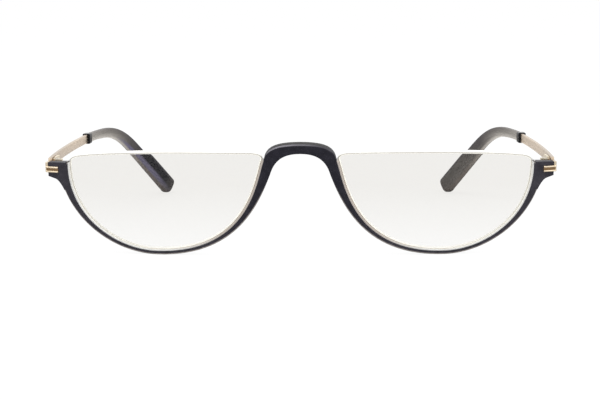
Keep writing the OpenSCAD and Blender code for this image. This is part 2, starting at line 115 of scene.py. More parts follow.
NOSE_X = LENS_SPACING / 2
END_X = NOSE_X + OPENING_W
LOW_X = NOSE_X + LOW_POINT
LOW_Y = RIM_LOW_W
OUTER_Y = LOW_Y + RIM_OUTER_H
NOSE_Y = LOW_Y + RIM_NOSE_H
LENS_Y = LOW_Y + LENS_H
LENS_MID = Vector((NOSE_X + OPENING_W / 2, LOW_Y + LENS_H / 2))


def point2(x, y):
    """A point of the flat drawing, in mm."""
    return Vector((x, y))


def cubic(a, leave, reach, b, steps):
    """Points of a cubic stretch between a and b, with the handle that leaves a and the one that reaches b."""
    out = []
    for i in range(steps + 1):
        t = i / steps
        s = 1 - t
        out.append(s * s * s * a + 3 * s * s * t * (a + leave) + 3 * s * t * t * (b + reach) + t * t * t * b)
    return out


def heading(chain, i):
    """Direction of an open chain of points at one of them."""
    return (chain[min(i + 1, len(chain) - 1)] - chain[max(i - 1, 0)]).normalized()


def away(curve, i):
    """Direction square to an open curve at a point, away from the lens."""
    d = heading(curve, i)
    return point2(-d.y, d.x)


def bow_depth(x):
    """How far the bowed front lies behind its middle at a distance from it."""
    return BOW_R - math.sqrt(BOW_R * BOW_R - x * x)


LIFT = -bow_depth(LOW_X) * math.sin(LEAN)
RIM_STEPS = 40
RIM_IN = cubic(
    point2(END_X, OUTER_Y), point2(0.4, -0.645 * RIM_OUTER_H),
    point2(0.46 * (END_X - LOW_X), 0), point2(LOW_X, LOW_Y), RIM_STEPS,
) + cubic(
    point2(LOW_X, LOW_Y), point2(-0.89 * LOW_POINT, 0),
    point2(0.06 * LOW_POINT, -0.165 * RIM_NOSE_H), point2(NOSE_X, NOSE_Y), RIM_STEPS,
)[1:]

# Heights at which the rim has its stated widths, and how its width grows up to them
SIDE_REF = RIM_OUTER_H * 0.66
NOSE_REF = RIM_NOSE_H * 0.86
EVEN_GROWTH, LATE_GROWTH = 0.45, 0.55


def rim_width(p):
    """Width of the rim at a point of its inside edge."""
    ref, width = (SIDE_REF, RIM_SIDE_W) if p.x > LOW_X else (NOSE_REF, RIM_NOSE_W)
    h = (p.y - LOW_Y) / ref
    return RIM_LOW_W + (width - RIM_LOW_W) * (EVEN_GROWTH * h + LATE_GROWTH * h * h)


RIM_OUT = [p + rim_width(p) * away(RIM_IN, i) for i, p in enumerate(RIM_IN)]
LUG_X = END_X + LUG_L
LUG_TOP = OUTER_Y
LUG_LOW = LUG_TOP - LUG_H
BEAK_Y = OUTER_Y + 0.8
FLANK = point2(END_X + 0.25, LUG_TOP + 0.15)
UNDER_Y = NOSE_Y + BRIDGE_RISE
OVER_Y = UNDER_Y + BRIDGE_H
BRIDGE_STEPS = 22

# Handles that leave and reach the ends of the bridge's two curves and of the fillet under an end piece
SADDLE_HANDLES = point2(4.2, 0), point2(-1.2, 4)
BRIDGE_HANDLES = point2(7.5, 0), point2(-0.4, 2.8)
FILLET_HANDLES = point2(0.45, 1.1), point2(-1.2, -0.3)
FILLET_END = point2(LUG_X - 1.9, LUG_LOW - 0.5)

# The block behind an end piece: its inner side, its underside, and the depths at which the underside is taken
BLOCK_INNER_X = LUG_X - (LUG_L - 0.4)
BLOCK_LOW_Y = LUG_LOW + 0.7
BLOCK_NEAR, BLOCK_DEEP = 1, 3

# Corners of a lens's open top, how many rings close each side of a lens, and the painted glow of its bevel
LENS_NOSE_CORNER = point2(NOSE_X + 4, LENS_Y - 0.05)
LENS_OUTER_CORNER = point2(END_X - 5.7, LENS_Y - 1.55)
LENS_RINGS = 20
BEVEL_GLOW = 0.1

# Where a cord enters the plastic, the points of the lens's open top that it follows, and how deep it lies
CORD_NOSE_END = point2(NOSE_X - 0.75, NOSE_Y - 1.5)
CORD_OUTER_END = point2(END_X + 0.95, OUTER_Y - 0.9)
CORD_SKIPS = slice(4, -5)
CORD_SUNK = CORD_D / 2 - 0.05


def row(p, depth, centre_y):
    """Where a point of the flat drawing, at a depth behind it, lies in the row frame, in metres."""
    return MM * Vector((
        p.x,
        depth * math.cos(LEAN) - p.y * math.sin(LEAN) - centre_y,
        depth * math.sin(LEAN) + p.y * math.cos(LEAN) + LIFT,
    ))


# The temple's path, by distances along it from the hinge
TIP_START = STRIP_L + COLLAR_L
BEND_START = TIP_START + TIP_STRAIGHT
BEND_END = BEND_START + BEND_L
LUG_MID = point2(LUG_X, (LUG_TOP + LUG_LOW) / 2)
HINGE_FACE_Y = (row(LUG_MID, bow_depth(LUG_X), 0) / MM).y + LUG_DEPTH
STRIP_OUTER_X = LUG_X + TRIM_T
TRIM_BACK_Y = HINGE_FACE_Y + 0.5
HINGE_Z = row(LUG_MID, bow_depth(LUG_X) + LUG_DEPTH / 2, 0).z / MM
LEVEL_Z = row(point2(LUG_X, LUG_TOP), bow_depth(LUG_X), 0).z
PATH_STEPS = 112
PATH_STEP = BEND_END / PATH_STEPS


def ease(t):
    """A soft start and end between 0 and 1."""
    u = min(max(t, 0.0), 1.0)
    return u * u * (3 - 2 * u)


def yaw(s):
    """How far the temple points outwards at a distance along it."""
    bow = (STRIP_OUT + STRIP_IN) * min(s / STRIP_L, 1)
    return math.radians(STRIP_OUT - bow - BEND_IN * ease((s - STRIP_L) / (BEND_END - STRIP_L)))


def axes(s):
    """Directions across, upward from and along the temple at a distance along it."""
    side, ahead = math.sin(yaw(s)), math.cos(yaw(s))
    fall = math.radians(BEND_DOWN * ease((s - BEND_START) / BEND_L))
    drop, level = math.sin(fall), math.cos(fall)
    return (
        Vector((ahead, -side, 0)),
        Vector((side * drop, ahead * drop, level)),
        Vector((side * level, ahead * level, -drop)),
    )


PATH = [Vector((STRIP_OUTER_X - STRIP_T / 2, TRIM_BACK_Y + 0.1, HINGE_Z + STRIP_RISE))]
for step in range(PATH_STEPS):
    PATH.append(PATH[-1] + PATH_STEP * axes((step + 0.5) * PATH_STEP)[2])


def path_point(s):
    """Where the temple's middle is at a distance along it; beyond the bend it runs straight on."""
    i = min(math.floor(s / PATH_STEP), PATH_STEPS - 1)
    q = min(s, BEND_END) / PATH_STEP - i
    return PATH[i] + q * (PATH[i + 1] - PATH[i]) + max(s - BEND_END, 0) * axes(s)[2]


# The tip ends where its rounded lower corner meets the ground
DOWN = math.radians(BEND_DOWN)
CORNER_LIFT = 0.15 * END_ROUND
TIP_END = BEND_END + (PATH[-1].z - TIP_H1 / 2 * math.cos(DOWN) + CORNER_LIFT) / math.sin(DOWN)
BRIDGE_FRONT_Y = row(point2(0, OVER_Y), 0, 0).y / MM
TIP_BACK_Y = path_point(TIP_END).y + TIP_H1 / 2 * math.sin(DOWN) * math.cos(yaw(TIP_END))
CENTRE_Y = (BRIDGE_FRONT_Y + TIP_BACK_Y) / 2

# How a tip's height grows, in shares of its length, how square its section is and how flat its end
SWELL_START, SWELL_L = 0.1, 0.65
TIP_SIDES, TIP_SQUARENESS = 32, 0.62
END_FLATNESS = 0.8

# The photograph's camera: its place, its three angles and its focal length on a 36 mm sensor
CAMERA_AT = Vector((6.444, -450 - CENTRE_Y, 72.737)) * MM
CAMERA_PITCH, CAMERA_TURN, CAMERA_ROLL = math.radians(7.305), math.radians(-0.8318), math.radians(-0.2)
CAMERA_LENS = 102.608

# Each lamp's name, its place in metres, its size and its power at light level 1
LAMPS = (
    ("key_lamp", (-0.25, -0.35, 0.75), 0.6, 2.4),
    ("fill_lamp", (0.5, -0.4, 0.5), 0.5, 1.3),
    ("back_lamp", (0.1, 0.6, 0.6), 0.6, 0.5),
)
LAMP_AIM = Vector((0, 0, 0.02))


def place(p, depth):
    """Where a point of the flat drawing lies on the glasses as they stand, in metres."""
    return row(p, depth, CENTRE_Y)


# Making meshes
def frame_at(origin, x, y, z):
    """A frame from its axes, which turns a section drawn in mm into its place."""
    m = Matrix((x * MM, y * MM, z * MM)).transposed().to_4x4()
    m.translation = origin
    return m


def station(s, wide, high):
    """Frame of the temple at a distance along it: x across, y up and z along, scaled to a section."""
    x, y, z = axes(s)
    return frame_at((path_point(s) - Vector((0, CENTRE_Y, 0))) * MM, x * wide, y * high, z)


def oblong(left, right, half):
    """Section with square corners, from one x to another and as far down as up."""
    return [(left, -half), (right, -half), (right, half), (left, half)]


def circle(across, sides):
    """Section of a round bar, in mm."""
    turns = [math.tau * k / sides for k in range(sides)]
    return [(across / 2 * math.cos(a), across / 2 * math.sin(a)) for a in turns]


def resampled(points, count):
    """Points at even distances along a polyline, in count stretches."""
    lengths = [0.0]
    for a, b in zip(points, points[1:]):
        lengths.append(lengths[-1] + (b - a).length)
    out, k = [], 0
    for i in range(count + 1):
        want = lengths[-1] * i / count
        while k < len(points) - 2 and lengths[k + 1] < want:
            k += 1
        span = lengths[k + 1] - lengths[k]
        t = 0 if span == 0 else min(max((want - lengths[k]) / span, 0), 1)
        out.append(points[k] + t * (points[k + 1] - points[k]))
    return out


def drawn_in(outline, by):
    """A closed outline drawn in by a distance."""
    out = []
    for i, p in enumerate(outline):
        d = (outline[(i + 1) % len(outline)] - outline[i - 1]).normalized()
        out.append(p - by * point2(-d.y, d.x))
    return out


def new_parts(result, kind):
    """What an operation made, of one kind."""
    return [g for g in result["geom"] if isinstance(g, kind)]


def ribbon(bm, one_side, other_side):
    """A strip of quads between two chains of points, grown edge by edge. Returns its faces."""
    a, b = bm.verts.new(one_side[0]), bm.verts.new(other_side[0])
    edge = bm.edges.new((a, b))
    faces = []
    for p, q in zip(one_side[1:], other_side[1:]):
        grown = bmesh.ops.extrude_edge_only(bm, edges=[edge])
        ends = new_parts(grown, bmesh.types.BMVert)
        ends.sort(key=lambda v: (v.co - a.co).length)
        edge = new_parts(grown, bmesh.types.BMEdge)[0]
        faces += new_parts(grown, bmesh.types.BMFace)
        a, b = ends
        a.co, b.co = p, q
    return faces


def swept(bm, section, stations):
    """A closed section carried along a row of frames, with both ends closed.

    Each vertex keeps its share of the length and its own height in the section.
    """
    layers = bm.verts.layers.float
    share, rise = (layers.get(name) or layers.new(name) for name in ("along", "rise"))
    first = []
    for x, y in section:
        v = bm.verts.new(stations[0] @ Vector((x, y, 0)))
        v[rise] = y
        first.append(v)
    face = bm.faces.new(first)
    for i in range(1, len(stations)):
        step = stations[i] @ stations[i - 1].inverted()
        grown = bmesh.ops.extrude_face_region(bm, geom=[face])
        verts = new_parts(grown, bmesh.types.BMVert)
        if i > 1:
            bmesh.ops.delete(bm, geom=[face], context="FACES_ONLY")
        face = new_parts(grown, bmesh.types.BMFace)[0]
        bmesh.ops.transform(bm, matrix=step, verts=verts)
        for v in verts:
            v[share] = i / (len(stations) - 1)


def grown_loop(bm, loop, to, to_one_point=False):
    """Grows a closed loop of edges outwards or inwards and moves each new vertex to its own place."""
    verts, edges = loop

    def key(v):
        return tuple(round(c, 8) for c in v.co)

    grown = bmesh.ops.extrude_edge_only(bm, edges=edges)
    fresh = {key(v): v for v in new_parts(grown, bmesh.types.BMVert)}
    faces = new_parts(grown, bmesh.types.BMFace)
    ordered = [fresh[key(v)] for v in verts]
    for v, p in zip(ordered, to):
        v.co = p
    if to_one_point:
        bmesh.ops.pointmerge(bm, verts=ordered, merge_co=to[0])
        return None, faces
    inside = set(ordered)
    return (ordered, [e for e in new_parts(grown, bmesh.types.BMEdge) if set(e.verts) <= inside]), faces


def outwards(bm):
    """Turns all the faces outwards."""
    bmesh.ops.recalc_face_normals(bm, faces=bm.faces)


def soften(bm, width, segments, sharper_than=40, keep=None):
    """Rounds every edge that is sharper than an angle, or those of them that a test keeps."""
    limit = math.radians(sharper_than)
    edges = [
        e for e in bm.edges
        if len(e.link_faces) == 2 and e.calc_face_angle() > limit and (keep is None or keep(e))
    ]
    bmesh.ops.bevel(
        bm, geom=edges, offset=width * MM, offset_type="OFFSET", segments=segments, profile=0.5,
        affect="EDGES", clamp_overlap=True, material=-1,
    )


def new_mesh(name, bm, materials):
    """A mesh from a bmesh, which is used up."""
    mesh = bpy.data.meshes.new(name)
    bm.to_mesh(mesh)
    bm.free()
    for material in materials:
        mesh.materials.append(material)
    return mesh


def new_object(name, data):
    """A new object in the scene."""
    obj = bpy.data.objects.new(name, data)
    bpy.context.scene.collection.objects.link(obj)
    return obj


def piece(name, bm, body, materials, replaced, smooth_under=38):
    """Turns a bmesh into a finished piece that rides on a CAD body and stands in for a CAD piece."""
    bmesh.ops.remove_doubles(bm, verts=bm.verts, dist=1e-7)
    outwards(bm)
    for f in bm.faces:
        f.smooth = True
    obj = new_object(name, new_mesh(name, bm, materials))
    obj.data.set_sharp_from_angle(angle=math.radians(smooth_under))
    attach(obj, body)
    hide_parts(replaced)


def sided(side, name, bm, body, materials, replaced, smooth_under=38):
    """A piece of one side. The right-hand shape is drawn, and mirrored for the left."""
    if side == "left":
        bmesh.ops.transform(bm, matrix=Matrix.Scale(-1, 4, (1, 0, 0)), verts=bm.verts)
        bmesh.ops.reverse_faces(bm, faces=bm.faces)
    piece(f"{side}_{name}", bm, body, materials, f"{side}_{replaced}", smooth_under)


# Materials
def linear(r, g, b):
    """A colour as seen on a screen, 0 to 255, as the shader's own values."""
    def one(c):
        c /= 255
        return c / 12.92 if c <= 0.04045 else ((c + 0.055) / 1.055) ** 2.4
    return (one(r), one(g), one(b))


def scaled(colour, by):
    """A colour made darker or paler."""
    return [min(c * by, 1) for c in colour]


def new_material(name):
    """A material, its node tree and its Principled shader."""
    material = bpy.data.materials.new(name)
    material.use_nodes = True
    tree = material.node_tree
    return material, tree, tree.nodes["Principled BSDF"]


def node(tree, kind, inputs, **settings):
    """A new node with its settings. An input is given a number, a colour or what another node puts out."""
    made = tree.nodes.new(kind)
    for key, value in settings.items():
        setattr(made, key, value)
    for key, given in inputs.items():
        socket = made.inputs[key]
        if isinstance(given, bpy.types.NodeSocket):
            tree.links.new(given, socket)
        else:
            socket.default_value = given if isinstance(given, (int, float)) else (*given, 1)
    return made


def worked(tree, operation, *values):
    """The result of a sum on one value or two."""
    return node(tree, "ShaderNodeMath", dict(enumerate(values)), operation=operation).outputs[0]


def product(tree, result, *factors):
    """All the factors multiplied."""
    for factor in factors:
        result = worked(tree, "MULTIPLY", result, factor)
    return result


def blend(tree, factor, first, second, how="MIX"):
    """A colour between two, by a factor that may change over the surface."""
    given = {"Factor": factor, "A": first, "B": second}
    return node(tree, "ShaderNodeMix", given, data_type="RGBA", blend_type=how).outputs["Result"]


def ranged(tree, value, low, high, first=0.0, last=1.0):
    """A value that goes from low to high while the given one goes from first to last."""
    given = {"Value": value, "From Min": first, "From Max": last, "To Min": low, "To Max": high}
    return node(tree, "ShaderNodeMapRange", given).outputs[0]


def split(tree, kind, output):
    """The three parts of a vector that a new node puts out."""
    return node(tree, "ShaderNodeSeparateXYZ", {0: tree.nodes.new(kind).outputs[output]}).outputs


def spot(tree):
    """Where a spot of a piece lies, in metres."""
    return split(tree, "ShaderNodeTexCoord", "Object")


def facing(tree):
    """The way the surface faces."""
    return split(tree, "ShaderNodeNewGeometry", "Normal")


def grain_group():
    """Fine moulded or brushed surface: a height, and a mask that varies over the piece."""
    name = "Surface grain"
    found = bpy.data.node_groups.get(name)
    if found:
        return found
    group = bpy.data.node_groups.new(name, "ShaderNodeTree")
    face = group.interface
    face.new_socket("Vector", in_out="INPUT", socket_type="NodeSocketVector")
    for label, default in (("Scale", 2000.0), ("Stretch", 1.0)):
        face.new_socket(label, in_out="INPUT", socket_type="NodeSocketFloat").default_value = default
    for label in ("Height", "Mask"):
        face.new_socket(label, in_out="OUTPUT", socket_type="NodeSocketFloat")
    start = group.nodes.new("NodeGroupInput").outputs
    squeeze = node(group, "ShaderNodeCombineXYZ", {"X": 1, "Y": start["Stretch"], "Z": 1}).outputs[0]
    drawn = node(group, "ShaderNodeVectorMath", {0: start["Vector"], 1: squeeze}, operation="MULTIPLY").outputs[0]
    fine, broad = (
        node(group, "ShaderNodeTexNoise", {"Vector": drawn, "Scale": scale, "Detail": detail}).outputs["Fac"]
        for scale, detail in ((start["Scale"], 3), (worked(group, "MULTIPLY", start["Scale"], 0.12), 2))
    )
    node(group, "NodeGroupOutput", {"Height": fine, "Mask": ranged(group, broad, 0, 1, 0.3, 0.7)})
    return group


def add_grain(tree, scale, stretch=1.0):
    """Places the grain group on Object coordinates and returns its height and its mask."""
    where = tree.nodes.new("ShaderNodeTexCoord").outputs["Object"]
    given = {"Vector": where, "Scale": scale, "Stretch": stretch}
    grain = node(tree, "ShaderNodeGroup", given, node_tree=grain_group())
    return grain.outputs["Height"], grain.outputs["Mask"]


def bump_from(tree, height, shader, strength):
    """Lets the grain's height move the surface by up to a fiftieth of a millimetre."""
    bump = node(tree, "ShaderNodeBump", {"Strength": strength, "Distance": 0.00002, "Height": height})
    tree.links.new(bump.outputs["Normal"], shader.inputs["Normal"])


def dress(tree, shader, colour, mask, smooth, rough):
    """Links a colour, and a roughness that the grain's mask varies between two levels."""
    tree.links.new(colour, shader.inputs["Base Color"])
    tree.links.new(ranged(tree, mask, smooth, rough), shader.inputs["Roughness"])


def frame_plastic(name, look):
    """Satin moulded plastic of the front, deeper at the bridge, with painted light: painted shade on the bridge's
    top face, a painted highlight along its upper front edge, paler on the left, and a painted reflection of the
    pale floor where it faces down.
    """
    material, tree, shader = new_material(name)
    height, mask = add_grain(tree, 5200)
    across, normal = spot(tree)["X"], facing(tree)
    aside, up = worked(tree, "ABSOLUTE", across), normal["Z"]
    on_bridge = ranged(tree, aside, 1, 0, 0.0085, 0.0105)
    off_bridge = ranged(tree, aside, 0, 1, 0.0085, 0.0115)
    # Painted highlight along the bridge's rounded upper front edge, paler on its left, towards the key lamp
    on_the_left = ranged(tree, across, 1, 0, -0.006, 0.005)
    forwards = ranged(tree, normal["Y"], 1, 0, -0.3, -0.1)
    edge = product(tree, ranged(tree, up, 0, 1, 0.3, 0.5), ranged(tree, normal["Y"], 1, 0, -0.32, -0.22), on_bridge)
    colour = blend(tree, ranged(tree, aside, 0, 1, 0.01, 0.024), look.bridge_colour, look.front_colour)
    for laid, factors in (
        # Painted shade on the bridge's top face
        (look.bridge_top_colour, (ranged(tree, up, 0, 1, 0.8, 0.93), on_bridge)),
        # Painted highlight along the bridge's rounded upper front edge
        (look.bridge_edge_colour, (edge,)),
        # Painted glint on that edge, palest on the left
        (look.glint_colour, (edge, on_the_left)),
        # Painted reflection of the pale floor on the downward edges
        (look.under_colour, (ranged(tree, up, 0, 1, -0.25, -0.42), forwards, off_bridge)),
    ):
        colour = blend(tree, product(tree, *factors), colour, laid)
    dress(tree, shader, blend(tree, 0.3, colour, mask, "MULTIPLY"), mask, 0.3, 0.38)
    bump_from(tree, height, shader, 0.06)
    shader.inputs["Specular IOR Level"].default_value = 0.03
    return material


def gold_metal(name, colour, smooth, rough, stretch=0.5, far=1.0, top=1.0, uneven=1.0):
    """Brushed or polished gold; far and top multiply its tone towards the back and on its upper sides: painted
    light where the tone is raised, painted shade where it is lowered.
    """
    material, tree, shader = new_material(name)
    height, mask = add_grain(tree, 3000, stretch)
    tone = blend(tree, mask, scaled(colour, 1 - 0.1 * uneven), scaled(colour, 1 + 0.06 * uneven))
    # Painted light and shade: the tone is raised or lowered towards the back and on the upward faces
    for value, level, first, last in (
        (spot(tree)["Y"], far, -0.045, 0.0), (facing(tree)["Z"], top, 0.25, 0.7),
    ):
        tone = blend(tree, 1, tone, ranged(tree, value, 1, level, first, last), "MULTIPLY")
    dress(tree, shader, tone, mask, smooth, rough)
    bump_from(tree, height, shader, 0.14 * uneven)
    shader.inputs["Metallic"].default_value = 1
    return material


def steel(name):
    """Turned steel of the screws and core wires."""
    material, tree, shader = new_material(name)
    _, mask = add_grain(tree, 2500, 0.3)
    dress(tree, shader, blend(tree, mask, linear(150, 142, 128), linear(196, 190, 178)), mask, 0.22, 0.34)
    shader.inputs["Metallic"].default_value = 1
    return material


def black_collar(name):
    """Glossy black plastic."""
    material, tree, shader = new_material(name)
    height, mask = add_grain(tree, 2200)
    dress(tree, shader, blend(tree, mask, linear(14, 14, 16), linear(28, 28, 31)), mask, 0.12, 0.2)
    bump_from(tree, height, shader, 0.05)
    shader.inputs["Specular IOR Level"].default_value = 0.08
    return material


def smoke_tip(name, look, far, sheen):
    """Smoke grey plastic that darkens from the collar to the end, with painted light by which way its surface
    faces: painted light and shade along the top and a painted reflection of the pale floor underneath.

    The far colour is that of its sides by the end, painted with its side's light; the sheen is a painted highlight
    along its lower corner.
    """
    material, tree, shader = new_material(name)

    def kept(key, low, high):
        """From 0 to 1 between two values of what the vertices keep: along the tip, or up its section."""
        value = node(tree, "ShaderNodeAttribute", {}, attribute_name=key).outputs["Fac"]
        return ranged(tree, value, 0, 1, low, high)

    # Painted light and shade along the top, by the height in the section
    above = blend(tree, kept("along", 0.08, 0.56), look.tip_top, look.tip_top_far)
    sides = blend(tree, kept("along", 0.08, 0.5), look.tip_light, look.tip_middle)
    # By the end the sides take the colour painted for their side's light
    sides = blend(tree, kept("along", 0.52, 0.68), sides, far)
    # Painted reflection of the pale floor on the underside
    under = blend(tree, kept("along", 0.3, 0.75), look.tip_under, look.tip_under_far)
    sharp = blend(tree, kept("rise", -0.34, -0.48), sides, under)
    soft = blend(tree, kept("rise", 0.1, -0.45), sides, under)
    # Painted highlight along the lower corner, fading out before the end
    across_band = product(tree, kept("rise", -0.2, -0.34), kept("rise", -0.5, -0.46))
    band = product(tree, across_band, kept("along", 0.35, 0.5), kept("along", 0.97, 0.8))
    body = blend(tree, kept("along", 0.18, 0.5), soft, sharp)
    body = blend(tree, kept("rise", 0.2, 0.47), body, above)
    body = blend(tree, band, body, sheen)
    body = blend(tree, kept("along", 0.86, 0.98), body, look.tip_end)
    _, mask = add_grain(tree, 500, 0.2)
    dress(tree, shader, body, mask, 0.26, 0.32)
    shader.inputs["Specular IOR Level"].default_value = 0.02
    return material


def clear_lens(name, look):
    """Clear plastic that lets through greyer light near its top and paler light near its bottom."""
    material, tree, shader = new_material(name)
    height = ranged(tree, spot(tree)["Z"], 0, 1, 0.002, 0.019)
    tree.links.new(blend(tree, height, look.lens_low, look.lens_top), shader.inputs["Base Color"])
    shader.inputs["Roughness"].default_value = 0.0
    shader.inputs["IOR"].default_value = 1.5
    shader.inputs["Specular IOR Level"].default_value = 0.03
    shader.inputs["Specular Tint"].default_value = (0.3, 0.3, 0.3, 1)
    shader.inputs["Transmission Weight"].default_value = 1
    return material


def ground_edge(name, colour, on_top, glow):
    """Fine-ground edge of a lens: matt, with a painted glow standing in for the light it takes in through the lens,
    and of its own colour along the open top.
    """
    material, tree, shader = new_material(name)
    _, mask = add_grain(tree, 4200)
    tone = blend(tree, mask, scaled(colour, 0.94), colour)
    tone = blend(tree, ranged(tree, spot(tree)["Z"], 0, 1, 0.0245, 0.0258), tone, on_top)
    dress(tree, shader, tone, mask, 0.4, 0.6)
    # Painted light: the edge glows as if lit from inside the lens
    shader.inputs["Emission Color"].default_value = (*colour, 1)
    shader.inputs["Emission Strength"].default_value = glow
    return material


def clear_nylon(name, look, by_the_nose):
    """Milky clear nylon of the liners and cords, which may take a shade from the rim by the nose, and which glows a
    little as painted light for what it picks up from inside.
    """
    material, tree, shader = new_material(name)
    _, mask = add_grain(tree, 1500)
    tone = blend(tree, mask, scaled(look.nylon_colour, 0.96), look.nylon_colour)
    aside = worked(tree, "ABSOLUTE", spot(tree)["X"])
    tone = blend(tree, ranged(tree, aside, 1, 0, 0.02, 0.034), tone, by_the_nose)
    dress(tree, shader, tone, mask, 0.2, 0.3)
    # Painted light: the nylon glows as if lit from inside
    shader.inputs["Emission Color"].default_value = (*look.nylon_colour, 1)
    shader.inputs["Emission Strength"].default_value = look.nylon_glow
    return material


def shared(name, make, *args):
    """A material is made once and shared by like pieces."""
    return bpy.data.materials.get(name) or make(name, *args)


# Settings
TINT = {"subtype": "COLOR", "min": 0, "max": 1}


class FrontSettings(bpy.types.PropertyGroup):
    edge_round: FloatProperty(
        name="Edge rounding", description="Width of the rounding along the plastic front's edges, in mm",
        default=0.4, min=0.05, max=0.4,
    )
    bridge_round: FloatProperty(
        name="Bridge rounding", description="Width of the rounding along the bridge's upper front edge, in mm",
        default=0.65, min=0.05, max=0.8,
    )
    under_round: FloatProperty(
        name="Lower rounding", description="Width of the rounding along the rims' lower edges, in mm",
        default=0.45, min=0.05, max=0.5,
    )
    front_colour: FloatVectorProperty(
        name="Front colour", description="Colour of the satin plastic front",
        default=linear(70, 68, 75), **TINT)
    # Painted reflection of the pale floor on the plastic's downward edges
    under_colour: FloatVectorProperty(
        name="Underside colour", description="Paler colour of the plastic's downward edges",
        default=linear(180, 172, 168), **TINT)
    # Painted glint: the palest painted highlight on the bridge's upper edge, on its left
    glint_colour: FloatVectorProperty(
        name="Bridge glint", description="Palest colour of the bridge's upper edge, on its left",
        default=linear(158, 155, 163), **TINT)
    # Painted highlight along the bridge's rounded upper edge
    bridge_edge_colour: FloatVectorProperty(
        name="Bridge edge", description="Colour along the bridge's rounded upper edge",
        default=linear(96, 94, 100), **TINT)
    # Painted shade laid on the bridge's upward face
    bridge_top_colour: FloatVectorProperty(
        name="Bridge top", description="Colour of the bridge's upper face",
        default=linear(30, 28, 28), **TINT)
    bridge_colour: FloatVectorProperty(
        name="Bridge colour", description="Deeper colour of the plastic at the bridge",
        default=linear(50, 49, 57), **TINT)


class LensSettings(bpy.types.PropertyGroup):
    bevel: FloatProperty(
        name="Lens bevel", description="Width of the fine bevel round a lens, in mm",
        default=0.18, min=0.05, max=0.4,
    )
    lens_top: FloatVectorProperty(
        name="Upper tint", description="Colour of the light that passes the lens near its top",
        default=(0.835, 0.823, 0.798), **TINT)
    lens_low: FloatVectorProperty(
        name="Lower tint", description="Colour of the light that passes the lens near its bottom",
        default=(0.915, 0.912, 0.9), **TINT)
    bevel_colour: FloatVectorProperty(
        name="Bevel colour", description="Colour of the fine bevel round a lens's front",
        default=linear(180, 170, 157), **TINT)
    bevel_top_colour: FloatVectorProperty(
        name="Bevel on top", description="Colour of the fine bevel along a lens's open top",
        default=linear(187, 184, 177), **TINT)
    # Painted light: an emission that stands in for the light an edge picks up inside the lens
    edge_glow: FloatProperty(
        name="Edge glow", description="Light that a lens's edge picks up from inside the lens",
        default=0.5, min=0, max=1,
    )
    nylon_colour: FloatVectorProperty(
        name="Nylon colour", description="Colour of the liners and cords",
        default=linear(230, 230, 228), **TINT)
    nylon_shade: FloatVectorProperty(
        name="Liner by the nose", description="Shade that a liner takes from the rim by the nose",
        default=linear(176, 162, 150), **TINT)
    # Painted light: an emission that stands in for the light the nylon picks up inside
    nylon_glow: FloatProperty(
        name="Nylon glow", description="Light that the clear nylon picks up from inside",
        default=0.2, min=0, max=1,
    )
    edge_colour: FloatVectorProperty(
        name="Lens edge", description="Colour of the ground edge of a lens",
        default=linear(246, 245, 240), **TINT)


class TempleSettings(bpy.types.PropertyGroup):
    metal_round: FloatProperty(
        name="Metal rounding", description="Width of the rounding along the strips' edges, in mm",
        default=0.12, min=0.02, max=0.25,
    )
    strip_colour: FloatVectorProperty(
        name="Strip colour", description="Colour of the champagne gold strip",
        default=linear(226, 207, 184), **TINT)
    trim_colour: FloatVectorProperty(
        name="Trim colour", description="Colour of the gold corner trims",
        default=linear(224, 208, 182), **TINT)
    # Paler than the gold's own colour, to paint light onto the hinge where it sits in shade between strip and end
    # piece
    hinge_colour: FloatVectorProperty(
        name="Hinge colour", description="Colour of the hinge leaves",
        default=linear(240, 226, 198), **TINT)
    # Painted shade in the recess between the two bars of a corner trim
    ground_colour: FloatVectorProperty(
        name="Trim ground", description="Darker metal between the two bars of a corner trim",
        default=linear(140, 114, 84), **TINT)
    # Painted light and shade along a tip's top
    tip_top: FloatVectorProperty(
        name="Tip's top by the collar", description="Colour of a tip's top by its collar",
        default=linear(140, 134, 128), **TINT)
    tip_top_far: FloatVectorProperty(
        name="Tip's top by the end", description="Colour of a tip's top by its end",
        default=linear(72, 69, 78), **TINT)
    tip_light: FloatVectorProperty(
        name="Tip by the collar", description="Colour of a tip's sides by its collar",
        default=linear(166, 161, 154), **TINT)
    tip_middle: FloatVectorProperty(
        name="Tip's middle", description="Colour of a tip's sides halfway down",
        default=linear(94, 90, 90), **TINT)
    # Painted reflection of the pale floor under a tip
    tip_under: FloatVectorProperty(
        name="Under a tip by the collar", description="Colour of a tip's underside by its collar",
        default=linear(226, 220, 212), **TINT)
    tip_under_far: FloatVectorProperty(
        name="Under a tip's end", description="Colour of a tip's underside by its end",
        default=linear(120, 112, 106), **TINT)
    # One plastic painted with each side's light: the left tip's sides in painted shade by the end, the right tip's
    # lit
    tip_cool: FloatVectorProperty(
        name="Left tip's end", description="Colour of the left tip's sides by its end",
        default=linear(34, 33, 38), **TINT)
    tip_warm: FloatVectorProperty(
        name="Right tip's end", description="Colour of the right tip's sides by its end",
        default=linear(98, 94, 91), **TINT)
    # Painted highlight along the left tip's lower corner
    tip_sheen: FloatVectorProperty(
        name="Left tip's sheen", description="Violet cast along the left tip's lower corner",
        default=linear(117, 113, 136), **TINT)
    tip_end: FloatVectorProperty(
        name="Tip's end", description="Colour of a tip at its very end",
        default=linear(94, 88, 85), **TINT)
    # Painted highlight along the right tip's lower corner
    tip_soft: FloatVectorProperty(
        name="Right tip's sheen", description="Soft grey along the right tip's lower corner",
        default=linear(112, 108, 105), **TINT)


class StageSettings(bpy.types.PropertyGroup):
    floor_colour: FloatVectorProperty(
        name="Floor colour", description="Colour of the plain pale floor",
        default=(0.86, 0.86, 0.86), **TINT)
    light: FloatProperty(
        name="Light level", description="Strength of the lamps, 1 is the level set for this part",
        default=1.0, min=0.1, max=3.0,
    )


